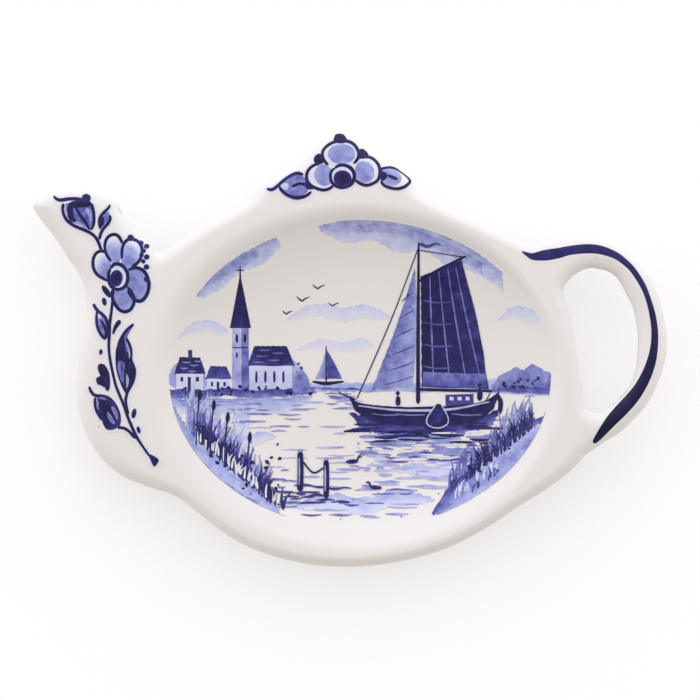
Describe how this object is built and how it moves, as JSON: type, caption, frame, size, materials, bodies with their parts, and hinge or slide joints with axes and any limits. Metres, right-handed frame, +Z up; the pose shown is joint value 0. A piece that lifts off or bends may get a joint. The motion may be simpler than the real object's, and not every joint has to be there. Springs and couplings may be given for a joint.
{
  "type": "tea bag rest",
  "caption": "Shallow glazed ceramic dish in a teapot's outline, with spout, lid and handle flanges, that holds a wet tea bag.",
  "frame": {"origin": "on the table, under the middle of the overall length and depth", "axes": "+X from the spout to the handle, +Y from the front rim to the lid's knob, +Z up"},
  "size_m": [0.1272, 0.0872, 0.0119],
  "materials": {
    "white_glaze": "clear gloss over white ware, with a few fine specks",
    "bare_foot": "matt, unglazed, slightly rough",
    "blue_wash": "pale cobalt wash fired under the gloss",
    "cobalt_line": "dark cobalt line fired under the gloss"
  },
  "bodies": {
    "root": {"bowl": "white_glaze", "rim": "white_glaze", "spout": "white_glaze", "lid": "white_glaze", "handle": "white_glaze", "foot_ring": "bare_foot", "well_print": "blue_wash", "spout_print": "cobalt_line", "lid_print": "cobalt_line", "handle_print": "cobalt_line"}
  },
  "joints": []
}
